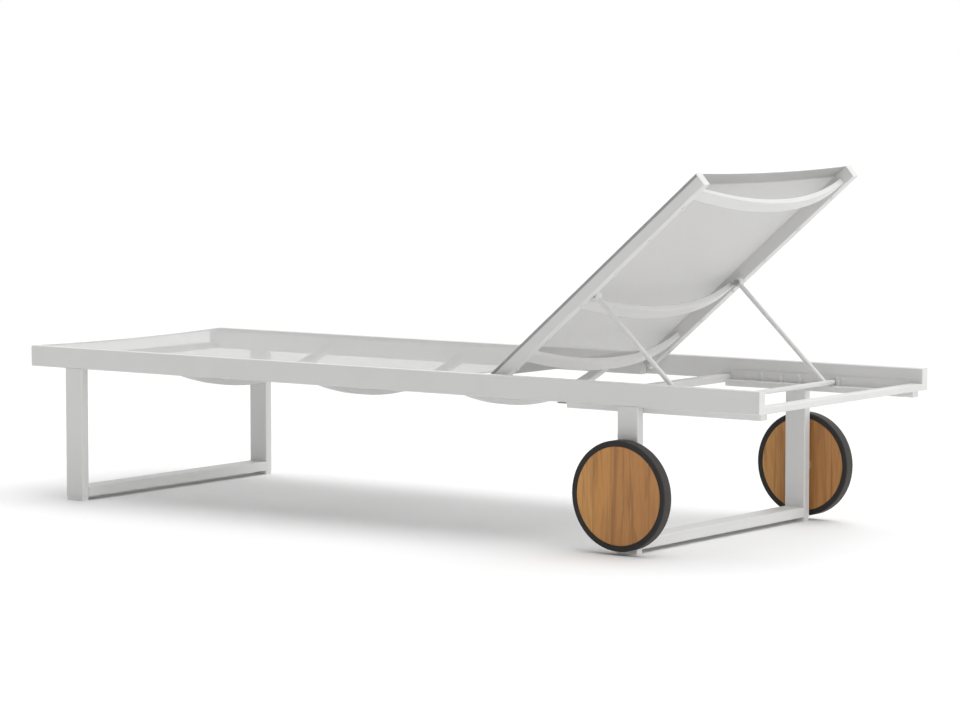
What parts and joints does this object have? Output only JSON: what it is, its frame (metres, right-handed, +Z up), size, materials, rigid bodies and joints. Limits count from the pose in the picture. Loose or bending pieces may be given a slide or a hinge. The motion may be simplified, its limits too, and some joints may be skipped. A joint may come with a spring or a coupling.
{
  "type": "sun lounger",
  "caption": "Reclining sun lounger with white tubular frame, mesh slings, sled legs, prop-bail backrest and teak-disc wheels for rolling it by the foot end.",
  "frame": {"origin": "on the ground, under the middle of the frame's length and the middle of the width over the wheels", "axes": "+Y towards the head end, +X to the left hand of someone lying on it, +Z up"},
  "size_m": [0.766, 2, 0.7962],
  "materials": {
    "coat": "satin white powder coat on aluminium tube",
    "nylon": "moulded white nylon",
    "mesh": "open woven textile mesh, light grey-white",
    "spline": "extruded grey keder spline",
    "steel": "stainless fasteners",
    "teak": "oiled teak, glued from upright staves",
    "tyre": "solid black rubber"
  },
  "bodies": {
    "frame": {"side_rail_left": "coat", "side_rail_right": "coat", "rail_end_caps": "nylon", "foot_cross_bar": "coat", "mid_cross_bar": "coat", "head_cross_bar": "coat", "seat_profile_left": "coat", "seat_profile_right": "coat", "seat_profile_caps": "nylon", "seat_spacers": "coat", "seat_bow_1": "coat", "seat_bow_2": "coat", "seat_bow_3": "coat", "seat_sling": "mesh", "seat_splines": "spline", "foot_leg_left": "coat", "foot_leg_right": "coat", "foot_base_bar": "coat", "head_leg_left": "coat", "head_leg_right": "coat", "head_base_bar": "coat", "glides": "nylon", "rack_left": "coat", "rack_right": "coat", "rack_caps": "nylon", "rack_screws": "coat", "hinge_bolts": "steel", "hinge_spacers": "nylon", "hinge_inserts": "steel", "wheel_axle_left": "steel", "wheel_axle_right": "steel", "axle_spacers": "nylon"},
    "backrest": {"back_profile_left": "coat", "back_profile_right": "coat", "back_caps": "nylon", "back_bow_1": "coat", "back_bow_2": "coat", "back_bow_3": "coat", "back_sling": "mesh", "back_splines": "spline", "back_screws": "coat", "bail_lugs": "coat", "bail_bolts": "steel"},
    "bail": {"bail_arm_left": "coat", "bail_arm_right": "coat", "bail_foot_rod": "coat", "bail_tips": "nylon"},
    "wheel_left": {"wheel_disc_left": "teak", "tyre_left": "tyre", "hub_bush_left": "nylon", "hub_screws_left": "steel"},
    "wheel_right": {"wheel_disc_right": "teak", "tyre_right": "tyre", "hub_bush_right": "nylon", "hub_screws_right": "steel"}
  },
  "joints": [
    {"name": "backrest_hinge", "type": "hinge", "parent": "frame", "child": "backrest", "pos_m": [0, 0.3069, 0.341], "axis": [1, 0, 0], "range_deg": [-40.2, 22.5]},
    {"name": "bail_pivot", "type": "hinge", "parent": "backrest", "child": "bail", "pos_m": [0, 0.55463, 0.53123], "axis": [1, 0, 0], "range_deg": [-46.4, 82.51]},
    {"name": "wheel_spin_left", "type": "hinge", "parent": "frame", "child": "wheel_left", "pos_m": [0.36975, 0.6785, 0.1245], "axis": [1, 0, 0], "continuous": true},
    {"name": "wheel_spin_right", "type": "hinge", "parent": "frame", "child": "wheel_right", "pos_m": [-0.36975, 0.6785, 0.1245], "axis": [1, 0, 0], "continuous": true}
  ],
  "couplings": [
    {"joint": "bail_pivot", "follows": "backrest_hinge", "ratio": -2.04}
  ]
}
